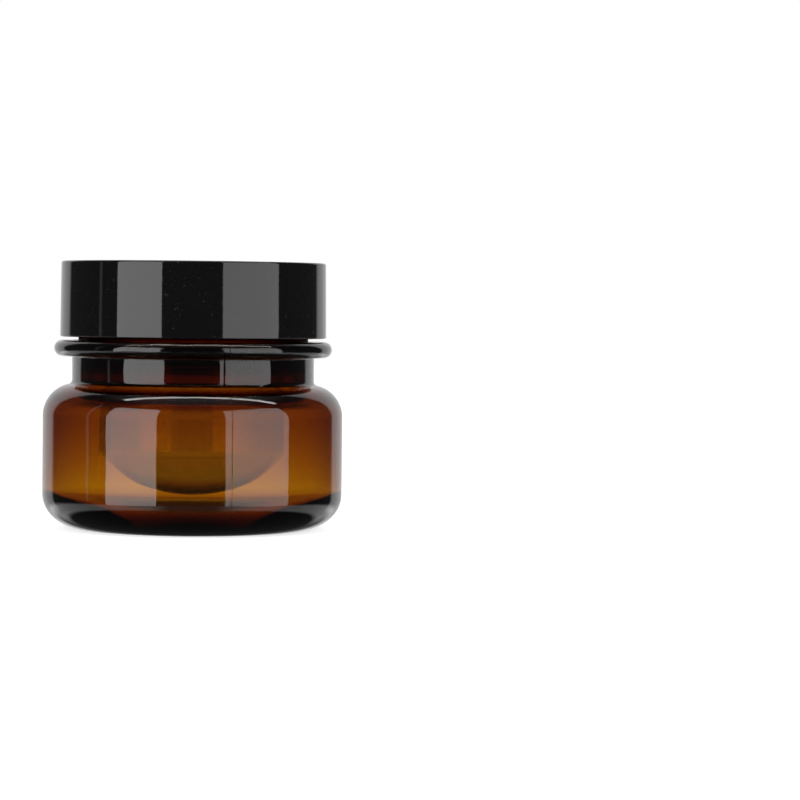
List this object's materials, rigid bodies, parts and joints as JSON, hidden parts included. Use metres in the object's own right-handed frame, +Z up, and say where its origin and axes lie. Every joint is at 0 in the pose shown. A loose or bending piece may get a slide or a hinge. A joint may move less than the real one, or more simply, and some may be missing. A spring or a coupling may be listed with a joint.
{
  "type": "cosmetic cream jar",
  "caption": "Round double-wall cosmetic cream jar: amber outer jar, clear inner cup, sealing disc with pull tab, and a glossy black screw cap with a foam liner.",
  "frame": {"origin": "centre of the footprint, on the plane that the jar stands on", "axes": "+Z up along the jar's axis towards the cap; +X and +Y across, with the picture's viewer on -Y"},
  "size_m": [0.0574, 0.0574, 0.0511],
  "materials": {
    "amber_pet": "polished transparent amber",
    "clear_cup": "polished clear",
    "white_pe": "soft translucent white",
    "white_foam": "closed-cell foam",
    "black_pp": "moulded",
    "black_gloss": "high gloss"
  },
  "bodies": {
    "jar": {"outer_jar": "amber_pet", "inner_cup": "clear_cup", "sealing_disc": "white_pe"},
    "liner": {"cap_liner": "white_foam"},
    "cap": {"cap_inner": "black_pp", "cap_outer_shell": "black_gloss"},
    "tab": {"pull_tab": "white_pe"}
  },
  "joints": [
    {"name": "cap_lift", "type": "slide", "parent": "jar", "child": "liner", "axis": [0, 0, 1], "range_m": [0, 0.02115]},
    {"name": "cap_turn", "type": "hinge", "parent": "liner", "child": "cap", "pos_m": [0, 0, 0], "axis": [0, 0, 1], "range_deg": [0, 1801]},
    {"name": "tab_flip", "type": "hinge", "parent": "jar", "child": "tab", "pos_m": [0, 0, 0.04595], "axis": [1, 0, 0], "range_deg": [0, 80.5]}
  ],
  "couplings": [
    {"joint": "cap_turn", "follows": "cap_lift", "rad_per_m": 1485.4},
    {"joint": "tab_flip", "follows": "cap_lift", "rad_per_m": 66.017}
  ]
}
